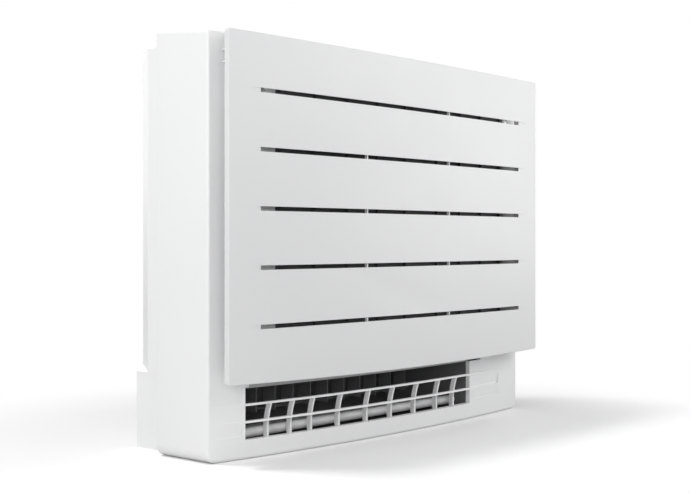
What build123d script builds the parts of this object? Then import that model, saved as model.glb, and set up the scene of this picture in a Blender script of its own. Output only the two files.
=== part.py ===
from build123d import *
from math import asin, degrees, radians, cos, sin, sqrt
import os

# Floor standing air conditioner. Millimetres, X along the width, front faces -Y, floor at Z = 0,
# origin under the middle of the overall box.

# Overall size; the depth is the sum of the rear casing, the front casing and the panel
width = 750.0
height = 600.0

# Shells and fits
wall = 2.5
fit_gap = 0.3
shaft_gap = 0.05

# Front casing: side walls, sloped top and a front that bows out towards the room
side_depth = 107.0
casing_bow = 26.0
top_fall = 10.0
edge_round = 5.0
foot_round = 16.0

# Rear casing: narrower and lower than the front casing, against the wall
rear_inset = 28.0
rear_drop = 17.5
rear_depth = 79.0
rear_lap = 24.0
rear_wall = 3.0
rear_chamfer_in = 12.0
rear_chamfer_deep = 26.0
rear_ledge_low = 112.0
rear_ledge_rise = 9.0
rib_count = 5
rib_pitch = 125.0
rib_width = 12.0
rib_sink = 1.2
rib_end_gap = 20.0
pipe_hole_radius = 32.0
pipe_hole_gap = 90.0
pipe_hole_z = 62.0

# Mounting plate, let into the back
plate_width = 380.0
plate_height = 120.0
plate_thickness = 1.5
plate_recess = 5.0
plate_z = 360.0
plate_hole_radius = 2.75
plate_spacing_x = 300.0
plate_spacing_z = 70.0
plate_window = (60.0, 26.0)
plate_window_pitch = 100.0
plate_foot = 18.0
plate_foot_gap = 13.0

# Front panel: a bowed skin with a returned rim, five level slots and an inner frame
panel_bow = 10.0
panel_gap = 18.0
panel_thickness = 8.0
panel_skin = 2.5
panel_bottom = 110.0
panel_top_gap = 13.0
panel_sag = 4.6
panel_corner = 4.0
panel_edge_round = 1.5
slot_height = 6.2
slot_inset = 58.0
slot_drop = 77.6
slot_rise = 75.8
slot_count = 5
groove_length = 33.0
groove_depth = 1.2
groove_tip = 0.8
web_places = (-98.0, 107.0)
screen_depth = 12.0
screen_thickness = 2.0
web_thickness = 2.0
level_rib = 8.0
side_strip = (4.0, 8.0)

# Panel hinge and stoppers
panel_pivot_setback = 7.0
panel_pivot_z = 118.0
panel_pin_radius = 3.0
arm_wall = 1.5
pin_end = 1.5
lug_wall = 2.2
lug_foot_low = 2.0
lug_foot_high = 9.0
hinge_inset = 45.0
lug_thickness = 4.0
stopper_width = 26.0
stopper_height = 14.0
stopper_drop = 31.0
stopper_depth = 5.0
stopper_shift = 6.0
guide_half = 24.0
guide_shift = 2.0
guide_rib = 2.0
guide_overhang = 3.0
ridge_count = 4
ridge_pitch = 4.0
ridge_height = 9.0
ridge_rise = 1.2

# Air filter window in the casing front
window_left_gap = 124.0
window_right_gap = 63.0
window_bottom = 150.0
window_drop = 70.0
window_frame_left_width = 37.0
window_frame_right_width = 24.0
window_margin = 12.0
window_slab = 8.0
window_bar = 10.0
screw_inset = 6.0
screw_low = 10.0
screw_high = 16.0
boss_radius = 4.5
casing_screw_radius = 1.8
screw_head_radius = 3.6
screw_head_gap = 0.4
screw_head = 2.2
filter_border = 8.0
filter_seat = 4.0
filter_rib = 3.0
filter_columns = 4
filter_rows = 5
net_thickness = 0.6
net_inset = 3.0
cartridge = (60.0, 150.0, 5.0)
cartridge_low = 40.0
cell_count = (4, 10)
cell_pitch = 14.0
cell_width = 11.0

# Lower band with the outlet and its lapped steps
band_slab = 8.0
band_bottom = 25.0
outlet_left_gap = 63.0
outlet_right_gap = 170.0
outlet_bottom = 27.0
outlet_top = 100.0
outlet_lip = 2.0
lintel_height = 4.0
lintel_inset = 6.0
slit_length = 38.0
slit_bottom = 98.0
slit_height = 3.4
step_lines = (77.0, 53.0, 33.0)
step_depths = (5.5, 3.5, 1.2)
step_end_gaps = ((150.0, 53.0), (70.0, 70.0), (70.0, 70.0))
step_feather = 0.1
step_overlap = 1.0
step_left_gap = 4.0
step_left_depth = 1.5
bar_lip = 3.0
bar_depth = 9.0
bar_lip_depth = 2.0
fin_shares = (0.093, 0.176, 0.253, 0.364, 0.484, 0.596, 0.714, 0.83, 0.9265)
fin_thickness = 3.0
fin_depth = 8.0
fin_front = 1.5
fin_fall = 7.1
fin_bend = 0.89
rail_drop = 1.0
fin_rail = 3.0
rail_setback = 2.0
bar_taper = 0.6

# Lower duct, damper and inner vanes
duct_wall = 2.5
duct_drop = 2.5
duct_lip = 3.0
duct_floor = 18.0
gate_gap = 12.0
duct_top_z = 112.0
duct_sweep = 58.0
damper_setback = 19.0
damper_z = 31.0
damper_bead = 7.0
damper_swing = 80.0
damper_headroom = 0.8
damper_thickness = 3.0
damper_pin = 2.5
damper_gap = 1.5
damper_lift = 1.0
damper_end = 8.0
damper_rim = 4.0
damper_skin = 4.4
damper_roof = 2.1
vane_pitch = 40.0
vane_gap = 6.0
vane_length = 26.0
vane_thickness = 1.6
vane_rise = 16.0
vane_drop = 13.8
vane_rail = 3.0

# Fan, housing and motor
fan_x = 0.0
fan_rise = 11.35
fan_radius = 158.0
fan_eye = 122.0
fan_gap = 20.0
fan_width = 54.0
fan_plate = 2.0
blade_count = 7
blade_inner = 100.0
blade_sweep = 38.0
blade_bend = 0.42
blade_crown = 5.0
blade_thickness = 4.0
shroud_step = 6.0
shroud_depth = 14.0
dish_margin = 8.0
dish_slope = 18.0
hub_setback = 24.0
hub_length = 16.0
shaft_radius = 4.0
hub_radius = 16.0
housing_waist = 190.0
upper_duct_height = 57.5
duct_lip_rise = 4.0
duct_lip_height = 17.5
back_lip_rise = 6.0
back_swell = 14.0
back_bend_rise = 35.0
back_skin = 1.8
roof_gap = 3.0
roof_setback = 47.7
bell_height = 12.0
bell_gap = 4.0
bell_flare = 8.5
bell_lip = 3.0
bell_margin = 42.0
motor_radius = 48.0
motor_length = 40.0
motor_ear = 58.0
motor_bevel = 5.0
motor_nose = 5.0
nose_radius = 14.0
ear_radius = 9.0
ear_length = 24.0
ear_hole = 2.6
bush_height = 4.0
motor_screw_head = 2.6
shaft_thread = 10.0
shaft_cover = 6.0
nut_height = 6.0

# Upper duct, flap and louvres
upper_end_room = 44.0
bearing_width = 6.0
bearing_drop = 6.0
upper_setback = 19.0
upper_back_gap = 10.5
flap_thickness = 3.0
flap_barrel = 7.0
flap_pin = 2.5
flap_gap = 1.5
louvre_count = 10
louvre_margin = 48.0
louvre_rise = 9.5
louvre_height = 31.0
louvre_setback = 43.0
louvre_back_gap = 35.7
louvre_thickness = 1.6
louvre_pin = 1.5
link_arm = 26.0
link_height = 13.0
link_thickness = 2.0
link_gap = 2.0
link_slot = 8.2
link_slot_gap = 1.2
link_slot_drop = 1.2
ear_setback = 31.0
ear_thickness = 3.0
ear_pitch = 9.0
eye_radius = 2.8
base_drop = 7.5
base_thickness = 3.0

# Heat exchanger
coil_left_gap = 1.0
coil_right_gap = 12.0
coil_bottom = 138.0
coil_headroom = 1.0
coil_setback = 9.0
coil_depth = 36.0
fin_pitch = 12.0
fin_groove = 3.0
tube_radius = 4.0
tube_rows = 6
tube_seat = 12.0
tube_reach = 8.0
end_plate = 1.5
end_flange = 34.0
pan_wall = 2.0
pan_depth = 23.4
pan_margin = 7.0
pan_rib_inset = 20.0
spout_radius = 8.0
spout_length = 24.0
spout_inset = 17.0

# Refrigerant pipes: gas, then liquid
pipe_reach = (38.0, 16.0)
pipe_radius = (4.8, 3.2)
pipe_end_z = (62.0, 88.0)
nut_size = (12.0, 9.0)
nut_share = 1.4

# Electrical box
box_side_gap = 32.0
box_width = 60.0
box_bottom = 182.0
box_height = 240.0
box_setback = 16.0
board_thickness = 1.6
board_gap = 1.0
post_inset = (8.0, 14.0)
post_height = 9.0
terminal = (48.0, 14.0, 20.0)
terminal_bays = 3
terminal_pitch = 14.0
cover_thickness = 1.2
cover_rise = 50.0
board_cans = ((-14.0, 118.0, 7.0, 14.0), (3.0, 118.0, 6.0, 13.0), (17.0, 120.0, 4.0, 9.0))
board_blocks = (
    (-12.0, 163.0, 20.0, 16.0, 13.0),
    (13.0, 163.0, 16.0, 24.0, 10.0),
    (0.0, 203.0, 34.0, 10.0, 8.0),
    (4.0, 83.0, 18.0, 18.0, 3.0),
)
vent_drop = 60.0
vent_pitch = 9.0
vent_count = 6
vent_size = (40.0, 3.0)

# Switch behind the panel's edge
switch_inset = 23.0
switch_z = 250.0
switch_size = (30.0, 52.0)
switch_travel = 1.2
switch_setback = 9.0
button_size = 10.0
button_gap = 0.2
switch_post_radius = 4.0
switch_post_inset = 5.0

# Stepper motors
stepper_radius = 10.5
stepper_offset = 8.0
stepper_length = 18.0
stepper_ear = 4.0
stepper_plug = (14.0, 6.0)
motor_clearance = 5.7
motor_grip = 9.0

# Derived places
depth = rear_depth + side_depth + casing_bow + panel_gap + panel_thickness
half_width = width / 2
wall_y = depth / 2
panel_front_y = -depth / 2
casing_back_y = wall_y - rear_depth
casing_corner_y = casing_back_y - side_depth
casing_front_y = casing_corner_y - casing_bow
casing_radius = (half_width**2 + casing_bow**2) / (2 * casing_bow)
panel_radius = (half_width**2 + panel_bow**2) / (2 * panel_bow)
rear_half = half_width - rear_inset
rear_height = height - rear_drop
panel_top = height - panel_top_gap
slot_half_length = half_width - slot_inset
slot_top_z = panel_top - slot_drop
slot_pitch = (slot_top_z - panel_bottom - slot_rise) / (slot_count - 1)
hinge_x = half_width - hinge_inset
stopper_z = panel_top - stopper_drop
window_left = window_left_gap - half_width
window_right = half_width - window_right_gap
window_top = height - window_drop
window_frame_left = window_left - window_frame_left_width
window_frame_right = window_right + window_frame_right_width
outlet_left = outlet_left_gap - half_width
outlet_right = half_width - outlet_right_gap
slit_right = outlet_right + slit_length
step_left = step_left_gap - half_width
pipe_hole_x = half_width - pipe_hole_gap
coil_left = window_left - coil_left_gap
coil_right = window_right - coil_right_gap
coil_front_y = casing_corner_y + coil_setback
fan_front_y = coil_front_y + coil_depth + fan_gap
hub_front_y = fan_front_y + hub_setback
duct_gate_y = fan_front_y - gate_gap
damper_y = casing_corner_y + damper_setback
damper_room = outlet_top - duct_drop - damper_z - damper_headroom
damper_length = damper_room / sin(radians(damper_swing))
vane_start_y = damper_y + damper_length + vane_gap
housing_bottom = duct_top_z + fit_gap
housing_top = rear_height - upper_duct_height
fan_z = (housing_bottom + housing_top) / 2 + fan_rise
coil_top = housing_top - coil_headroom
upper_half = rear_half - rear_wall - upper_end_room
upper_front_y = casing_corner_y + upper_setback
upper_back_y = casing_back_y - upper_back_gap
louvre_pivot_z = housing_top + louvre_rise
louvre_front_y = upper_front_y + louvre_setback
box_left = box_side_gap - half_width
box_front_y = casing_corner_y + box_setback
louvre_pitch = 2 * (upper_half - louvre_margin) / (louvre_count - 1)
rear_front_y = casing_back_y - rear_lap
top_slope = top_fall / side_depth
housing_back_y = wall_y - plate_recess - rear_wall - fit_gap
louvre_back_y = housing_back_y - rear_wall - louvre_back_gap
fan_back_y = fan_front_y + fan_width
window_middle = (window_left + window_right) / 2
far = 2 * width
# how far an outline runs past an edge that a second outline trims
overshoot = 3.0

os.makedirs("parts", exist_ok=True)


def save(part, name):
    """Label one finished piece and write it."""
    part.label = name
    export_step(part, f"parts/{name}.step")


def bow_y(x, front_y, radius):
    """Y of a bowed front at the given X, front_y being its place at X = 0."""
    return front_y + radius - sqrt(radius**2 - x**2)


def casing_y(x):
    return bow_y(x, casing_front_y, casing_radius)


def panel_y(x):
    return bow_y(x, panel_front_y, panel_radius)


def top_z(y):
    """Height of the casing's sloped top."""
    return height - (casing_back_y - y) * top_slope


def bowed_face(x0, x1, front_y, radius, offset, thickness):
    """Plan outline between two arcs concentric with a bowed front, offset behind it."""
    xm = (x0 + x1) / 2
    front = (front_y + offset, radius - offset)
    back = (front_y + offset + thickness, radius - offset - thickness)
    with BuildSketch() as outline:
        with BuildLine():
            ThreePointArc(*[(x, bow_y(x, *front)) for x in (x0, xm, x1)])
            Line((x1, bow_y(x1, *front)), (x1, bow_y(x1, *back)))
            ThreePointArc(*[(x, bow_y(x, *back)) for x in (x1, xm, x0)])
            Line((x0, bow_y(x0, *back)), (x0, bow_y(x0, *front)))
        make_face()
    return outline.sketch


def bowed_slab(x0, x1, z0, z1, offset, thickness, front_y=casing_front_y, radius=casing_radius):
    """Upright slab that follows a bowed front."""
    with BuildPart() as slab:
        add(bowed_face(x0, x1, front_y, radius, offset, thickness))
        extrude(amount=z1 - z0)
    return Pos(0, 0, z0) * slab.part


def block(x0, x1, y0, y1, z0, z1):
    """Plain box between two corners, for cuts and small blocks."""
    with BuildPart() as box:
        with BuildSketch(Plane.XY.offset(z0)):
            with Locations(((x0 + x1) / 2, (y0 + y1) / 2)):
                Rectangle(x1 - x0, y1 - y0)
        extrude(amount=z1 - z0)
    return box.part


def rod(x, y, z, radius, length, direction):
    """Round bar that starts at a point and runs along a direction."""
    with BuildPart() as bar:
        with BuildSketch(Plane(origin=(x, y, z), z_dir=direction)):
            Circle(radius)
        extrude(amount=length)
    return bar.part


def side_profile(points, x0, x1):
    """Solid from a closed outline of (Y, Z) points, drawn out along X."""
    with BuildPart() as solid:
        with BuildSketch(Plane.YZ.offset(x0)):
            with BuildLine():
                Polyline(*points, close=True)
            make_face()
        extrude(amount=x1 - x0)
    return solid.part


def bow_ring(profile, x0, x1):
    """Solid from (depth behind the casing front, Z) points, turned about the bow's centre."""
    start = degrees(asin(x0 / casing_radius))
    sweep = degrees(asin(x1 / casing_radius)) - start
    outward = (sin(radians(start)), -cos(radians(start)), 0)
    centre = (0, casing_front_y + casing_radius, 0)
    normal = Vector(*outward).cross(Vector(0, 0, 1))
    with BuildPart() as ring:
        with BuildSketch(Plane(origin=centre, x_dir=outward, z_dir=normal)):
            with BuildLine():
                Polyline(*[(casing_radius - d, z) for d, z in profile], close=True)
            make_face()
        revolve(axis=Axis(centre, (0, 0, 1)), revolution_arc=sweep)
    return ring.part


def fan_plane():
    """Half section plane through the fan's axis: X is the radius, Y runs along the axis."""
    return Plane(origin=(fan_x, 0, fan_z), x_dir=(1, 0, 0), z_dir=(0, 0, 1))


fan_axis = Axis((fan_x, 0, fan_z), (0, 1, 0))


def casing_block(inset, rounding=0.0):
    """Outer form of the front casing, or the hollow inside it when inset by the wall."""
    x = half_width - inset
    back = casing_back_y - inset
    front_y = casing_front_y + inset
    radius = casing_radius - inset
    wide = half_width + overshoot
    with BuildPart() as form:
        with BuildSketch():
            with BuildLine():
                bow = ThreePointArc(*[(p, bow_y(p, front_y, radius)) for p in (-wide, 0, wide)])
                Polyline(bow @ 1, (wide, back), (-wide, back), bow @ 0)
            make_face()
        extrude(amount=height)
        with BuildSketch(Plane.YZ.offset(-wide)):
            with BuildLine():
                Polyline(
                    (panel_front_y, inset),
                    (back, inset),
                    (back, top_z(back) - inset),
                    (panel_front_y, top_z(panel_front_y) - inset),
                    close=True,
                )
            make_face()
        extrude(amount=2 * wide, mode=Mode.INTERSECT)
        with BuildSketch(Plane.XZ.offset(-wall_y)):
            with BuildLine():
                low = foot_round - inset
                Polyline((-x, height), (x, height), (x, inset + low))
                RadiusArc((x, inset + low), (x - low, inset), low)
                Line((x - low, inset), (-x + low, inset))
                RadiusArc((-x + low, inset), (-x, inset + low), low)
                Line((-x, inset + low), (-x, height))
            make_face()
        extrude(amount=depth, mode=Mode.INTERSECT)
        if rounding:
            front = form.faces().sort_by(Axis.Y)[0]
            top = form.faces().sort_by(Axis.Z)[-1]
            top_only = [edge for edge in top.edges() if edge not in front.edges()]
            rim = front.edges() + ShapeList(top_only)
            fillet(rim.filter_by(lambda edge: edge.center().Y < back - 1), rounding)
    return form.part


def step_profile(line, above, sink, surface):
    """Section of one lapped band's recess: (depth, Z) points, deepest at its lower line."""
    return (
        (surface - 1.0, line),
        (surface + sink, line),
        (surface, above),
        (surface - 1.0, above),
    )


casing_outer = casing_block(0.0, edge_round)
casing_inner = casing_block(wall)


# ---------------------------------------------------------------- front casing
band_top = outlet_top + lintel_height + wall
band_back_y = casing_corner_y + band_slab
flap_pivot_y = upper_back_y - flap_gap - flap_barrel
flap_pivot_z = top_z(flap_pivot_y) - flap_barrel
screw_x = (window_frame_left + screw_inset, window_frame_right - screw_inset)
screw_z = (window_bottom + screw_low, window_top - screw_high)
flange_y = coil_front_y - end_plate
lug_x = hinge_x + lug_thickness
panel_pivot_y = panel_y(hinge_x) + panel_thickness + panel_pivot_setback
lug_radius = panel_pin_radius + lug_wall
switch_x = half_width - switch_inset

with BuildPart() as front_casing:
    add(casing_outer)
    add(casing_inner, mode=Mode.SUBTRACT)
    # opening at the back that the rear casing stands in
    x = rear_half + fit_gap
    add(block(-x, x, rear_front_y - fit_gap, far, -far, rear_height + fit_gap), mode=Mode.SUBTRACT)
    # thicker frame round the filter window
    add(
        bowed_slab(
            window_frame_left,
            window_frame_right,
            window_bottom - window_margin,
            window_top + window_margin,
            wall / 2,
            window_slab - wall / 2,
        )
    )
    # thicker band round the outlet
    band_right = half_width - edge_round
    add(bowed_slab(step_left, band_right, band_bottom, band_top, wall / 2, band_slab - wall / 2))
    # pocket that the two air filters drop into side by side, and the four windows behind them
    add(
        bowed_slab(
            window_left - filter_border,
            window_right + filter_border,
            window_bottom - filter_border,
            window_top + filter_border,
            -1.0,
            filter_seat + 1.0,
        ),
        mode=Mode.SUBTRACT,
    )
    window_middle_z = (window_bottom + window_top) / 2
    columns = ((window_left, window_middle - window_bar), (window_middle + window_bar, window_right))
    half_bar = window_bar / 2
    rows = ((window_bottom, window_middle_z - half_bar), (window_middle_z + half_bar, window_top))
    for x0, x1 in columns:
        for z0, z1 in rows:
            add(bowed_slab(x0, x1, z0, z1, -1.0, window_slab + 2.0), mode=Mode.SUBTRACT)
    # lower outlet: its top steps up behind the panel's lower edge
    mouth = block(outlet_left, outlet_right, -far, band_back_y, outlet_bottom, outlet_top)
    add(mouth, mode=Mode.SUBTRACT)
    x0 = outlet_left + lintel_inset
    lintel_top = outlet_top + lintel_height
    add(block(x0, outlet_right, -far, band_back_y, outlet_top - 1.0, lintel_top), mode=Mode.SUBTRACT)
    # slit that runs on to the right of the outlet, with a round end
    slit_left = outlet_right - slit_height
    with BuildSketch(Plane.XZ.offset(-band_back_y)):
        with Locations(((slit_left + slit_right) / 2, slit_bottom + slit_height / 2)):
            SlotOverall(slit_right - slit_left, slit_height)
    extrude(amount=depth, mode=Mode.SUBTRACT)
    # lapped steps: each band sinks towards the lip below it, and fades out away from the outlet
    band_tops = (band_top - wall / 2, step_lines[0] - bar_lip, step_lines[1] - bar_lip)
    right_start = outlet_right + outlet_lip
    left_start = outlet_left - outlet_lip
    for line, above, sink, end_gaps in zip(step_lines, band_tops, step_depths, step_end_gaps):
        full, end = (half_width - gap for gap in end_gaps)
        add(bow_ring(step_profile(line, above, sink, 0.0), right_start, full), mode=Mode.SUBTRACT)
        left_sink = min(sink, step_left_depth)
        spans = [(left_start, left_sink, step_left)]
        if full < end:
            spans.append((full - step_overlap, sink, end))
        for x0, deep, x1 in spans:
            for x, d in ((x0, deep), (x1, step_feather)):
                with BuildSketch(Plane.YZ.offset(x)):
                    with BuildLine():
                        Polyline(*step_profile(line, above, d, casing_y(x)), close=True)
                    make_face()
            loft(mode=Mode.SUBTRACT)
    # upper outlet in the sloped top, with a bearing block for the flap at each end
    z0 = height - 3 * top_fall
    add(block(-upper_half, upper_half, upper_front_y, upper_back_y, z0, far), mode=Mode.SUBTRACT)
    for side in (-1, 1):
        x0, x1 = sorted((side * upper_half, side * (upper_half + bearing_width)))
        y0, y1 = flap_pivot_y - flap_barrel, flap_pivot_y + flap_barrel
        ear = block(x0, x1, y0, y1, flap_pivot_z - bearing_drop, height)
        add(ear & casing_outer)
        hole_radius = flap_pin + shaft_gap
        hole = rod(x0 - 1.0, flap_pivot_y, flap_pivot_z, hole_radius, bearing_width + 2.0, (1, 0, 0))
        add(hole, mode=Mode.SUBTRACT)
    # screw bosses that reach back to the coil's end plates
    for x in screw_x:
        for z in screw_z:
            y = casing_y(x) + window_slab - 1.0
            add(rod(x, y, z, boss_radius, flange_y - fit_gap - y, (0, 1, 0)))
            hole = rod(x, -far / 4, z, casing_screw_radius + shaft_gap, far / 2, (0, 1, 0))
            add(hole, mode=Mode.SUBTRACT)
            sink_length = far / 4 + casing_y(x) + screw_head + fit_gap
            sink_radius = screw_head_radius + screw_head_gap
            add(rod(x, -far / 4, z, sink_radius, sink_length, (0, 1, 0)), mode=Mode.SUBTRACT)
    # hinge lugs for the front panel
    for side in (-1, 1):
        x0, x1 = sorted((side * hinge_x, side * lug_x))
        y = casing_y(hinge_x) + wall / 2
        with BuildSketch(Plane.YZ.offset(x0)):
            with BuildLine():
                Polyline(
                    (y, panel_pivot_z - lug_radius + lug_foot_low),
                    (panel_pivot_y, panel_pivot_z - lug_radius),
                    (panel_pivot_y, panel_pivot_z + lug_radius),
                    (y, panel_pivot_z + lug_radius + lug_foot_high),
                    close=True,
                )
            make_face()
            with Locations((panel_pivot_y, panel_pivot_z)):
                Circle(lug_radius)
                Circle(panel_pin_radius + shaft_gap, mode=Mode.SUBTRACT)
        extrude(amount=x1 - x0)
    # guides that the panel stoppers slide in, and the window of the switch
    for side in (-1, 1):
        x = side * (hinge_x - guide_shift)
        half_guide = stopper_height / 2 + fit_gap
        for z in (stopper_z - half_guide - guide_rib, stopper_z + half_guide):
            y = casing_y(x) + wall / 2
            y0 = y - stopper_depth - guide_overhang
            add(block(x - guide_half, x + guide_half, y0, y, z, z + guide_rib))
    post_reach = switch_size[1] / 2 - switch_post_inset
    for z in (switch_z - post_reach, switch_z + post_reach):
        y = casing_y(switch_x) + wall / 2
        post_length = casing_corner_y + switch_setback - fit_gap - y
        add(rod(switch_x, y, z, switch_post_radius, post_length, (0, 1, 0)))
    half = button_size / 2 + button_gap
    x0, x1 = switch_x - half, switch_x + half
    hole = block(x0, x1, -far, casing_corner_y + wall, switch_z - half, switch_z + half)
    add(hole, mode=Mode.SUBTRACT)
save(front_casing.part, "front_casing")

# ---------------------------------------------------------------- rear casing
motor_end_x = upper_half + bearing_width + fit_gap + stepper_length


def rear_plan(x, front, back, cut_in, cut_deep):
    """Plan outline of the rear casing with its two rear corners cut off."""
    with BuildSketch() as plan:
        with BuildLine():
            Polyline(
                (-x, front),
                (x, front),
                (x, back - cut_deep),
                (x - cut_in, back),
                (-x + cut_in, back),
                (-x, back - cut_deep),
                close=True,
            )
        make_face()
    return plan.sketch


def rear_block(inset):
    """Rear casing's form: square below the ledge, chamfered rear corners above it."""
    x = rear_half - inset
    back = wall_y - inset
    ledge_top = rear_ledge_low + rear_ledge_rise
    with BuildPart() as form:
        top = (rear_ledge_low if inset else ledge_top) - inset
        add(block(-x, x, rear_front_y - inset, back, inset, top))
        with BuildSketch(Plane.XY.offset(inset)):
            add(rear_plan(x, rear_front_y - inset, back, rear_chamfer_in, rear_chamfer_deep))
        extrude(amount=rear_height - 2 * inset)
        if not inset:
            for side in (-1, 1):
                with BuildSketch(Plane.XZ.offset(-wall_y - 1.0)):
                    with BuildLine():
                        Polyline(
                            (side * (x - rear_chamfer_in), ledge_top),
                            (side * x, rear_ledge_low),
                            (side * (x + 1.0), rear_ledge_low),
                            (side * (x + 1.0), ledge_top + 1.0),
                            (side * (x - rear_chamfer_in), ledge_top + 1.0),
                            close=True,
                        )
                    make_face()
                extrude(amount=rear_chamfer_deep + 1.0, mode=Mode.SUBTRACT)
            with BuildSketch(Plane.XY.offset(ledge_top)):
                add(rear_plan(x, rear_front_y, back, rear_chamfer_in, rear_chamfer_deep))
            extrude(amount=rear_height - ledge_top)
            with BuildSketch(Plane.XY.offset(rear_ledge_low)):
                add(rear_plan(x, rear_front_y, back, rear_chamfer_in, rear_chamfer_deep))
            extrude(amount=rear_ledge_rise + 1.0)
    return form.part


with BuildPart() as rear_casing:
    add(rear_block(0.0))
    add(rear_block(rear_wall), mode=Mode.SUBTRACT)
    # the top stops short where the upper duct and the flap's motor stand
    add(
        block(
            -motor_end_x - motor_clearance,
            motor_end_x + motor_clearance,
            rear_front_y - 1.0,
            casing_back_y - wall - 1.0,
            rear_height - rear_wall - 1.0,
            rear_height + 1.0,
        ),
        mode=Mode.SUBTRACT,
    )
    # pad behind the recess of the mounting plate
    add(
        block(
            -plate_width / 2 - wall,
            plate_width / 2 + wall,
            wall_y - plate_recess - rear_wall,
            wall_y,
            plate_z - plate_height / 2 - wall,
            plate_z + plate_height / 2 + wall,
        )
    )
    add(
        block(
            -plate_width / 2 - fit_gap,
            plate_width / 2 + fit_gap,
            wall_y - plate_recess,
            wall_y + 1,
            plate_z - plate_height / 2 - fit_gap,
            plate_z + plate_height / 2 + fit_gap,
        ),
        mode=Mode.SUBTRACT,
    )
    # hole for the pipes, and vertical stiffening ribs pressed into the back
    add(rod(pipe_hole_x, wall_y + 1, pipe_hole_z, pipe_hole_radius, 10.0, (0, -1, 0)), mode=Mode.SUBTRACT)
    rib_low = rear_ledge_low + rib_end_gap
    rib_high = rear_height - rib_end_gap
    plate_low = plate_z - plate_height / 2 - rib_end_gap
    plate_high = plate_z + plate_height / 2 + rib_end_gap
    for z0, z1 in ((rib_low, plate_low), (plate_high, rib_high)):
        with BuildSketch(Plane.XZ.offset(-wall_y - 0.01)):
            with Locations((0, (z0 + z1) / 2)):
                with GridLocations(rib_pitch, 0, rib_count, 1):
                    SlotOverall(z1 - z0, rib_width, rotation=90)
        extrude(amount=rib_sink, mode=Mode.SUBTRACT)
save(rear_casing.part, "rear_casing")

# ---------------------------------------------------------------- mounting plate and its screws
with BuildPart() as mounting_plate:
    add(
        block(
            -plate_width / 2,
            plate_width / 2,
            wall_y - plate_thickness,
            wall_y,
            plate_z - plate_height / 2,
            plate_z + plate_height / 2,
        )
    )
    with BuildSketch(Plane.XZ.offset(-wall_y)):
        with Locations((0, plate_z)):
            with GridLocations(plate_spacing_x, plate_spacing_z, 2, 2):
                Circle(plate_hole_radius)
            with GridLocations(plate_window_pitch, 0, 2, 1):
                SlotOverall(plate_window[0], plate_window[1])
    extrude(amount=plate_thickness, mode=Mode.SUBTRACT)
    # pressed feet that stand off to the recess floor
    foot_x = plate_spacing_x / 2 + plate_foot / 2 + plate_foot_gap
    y0, y1 = wall_y - plate_recess, wall_y - plate_thickness / 2
    plate_bottom = plate_z - plate_height / 2
    for x in (-foot_x, 0.0, foot_x):
        for z0 in (plate_bottom, plate_bottom + plate_height - plate_thickness):
            x0, x1 = x - plate_foot / 2, x + plate_foot / 2
            add(block(x0, x1, y0, y1, z0, z0 + plate_thickness))
save(mounting_plate.part, "mounting_plate")

# ---------------------------------------------------------------- front panel
def panel_outline(inset):
    """Front view of the panel: its lower edge sags a little between rounded corners."""
    x = half_width - inset
    low, high = panel_bottom + inset, panel_top - inset
    with BuildSketch(Plane.XZ.offset(wall_y)) as outline:
        with BuildLine():
            ThreePointArc((-x, low), (0, low - panel_sag), (x, low))
            Polyline((x, low), (x, high), (-x, high), (-x, low))
        make_face()
        fillet(outline.vertices(), panel_corner - inset)
    return outline.sketch


def panel_slab(x0, x1, z0, z1, offset, thickness):
    """Upright slab that follows the panel's bow."""
    return bowed_slab(x0, x1, z0, z1, offset, thickness, panel_front_y, panel_radius)


slot_z = [slot_top_z - i * slot_pitch for i in range(slot_count)]
panel_low = panel_bottom - panel_sag - overshoot
panel_rim_x = half_width + overshoot
with BuildPart() as front_panel:
    add(panel_slab(-panel_rim_x, panel_rim_x, panel_low, panel_top + overshoot, 0.0, panel_thickness))
    extrude(panel_outline(0.0), amount=-depth, mode=Mode.INTERSECT)
    front_edges = front_panel.faces().sort_by(Axis.Y)[0].edges()
    fillet(front_edges, panel_edge_round)
    # hollow back, inside a returned rim
    behind = panel_slab(-panel_rim_x, panel_rim_x, panel_low, panel_top, panel_skin, panel_thickness)
    inside = extrude(panel_outline(panel_skin), amount=-depth, mode=Mode.PRIVATE)
    add(behind.intersect(inside), mode=Mode.SUBTRACT)
    for z in slot_z:
        z0, z1 = z - slot_height / 2, z + slot_height / 2
        add(block(-slot_half_length, slot_half_length, -far, 0.0, z0, z1), mode=Mode.SUBTRACT)
        # shallow groove that runs out from each end of the slot
        for side in (-1, 1):
            x0 = side * slot_half_length
            x1 = side * (slot_half_length + groove_length)
            with BuildSketch(Plane.XZ.offset(-panel_y(slot_half_length) - groove_depth)):
                with BuildLine():
                    tip = groove_tip / 2
                    Polyline((x0, z0), (x0, z1), (x1, z + tip), (x1, z - tip), close=True)
                make_face()
            extrude(amount=panel_thickness, mode=Mode.SUBTRACT)
save(front_panel.part, "front_panel")

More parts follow.
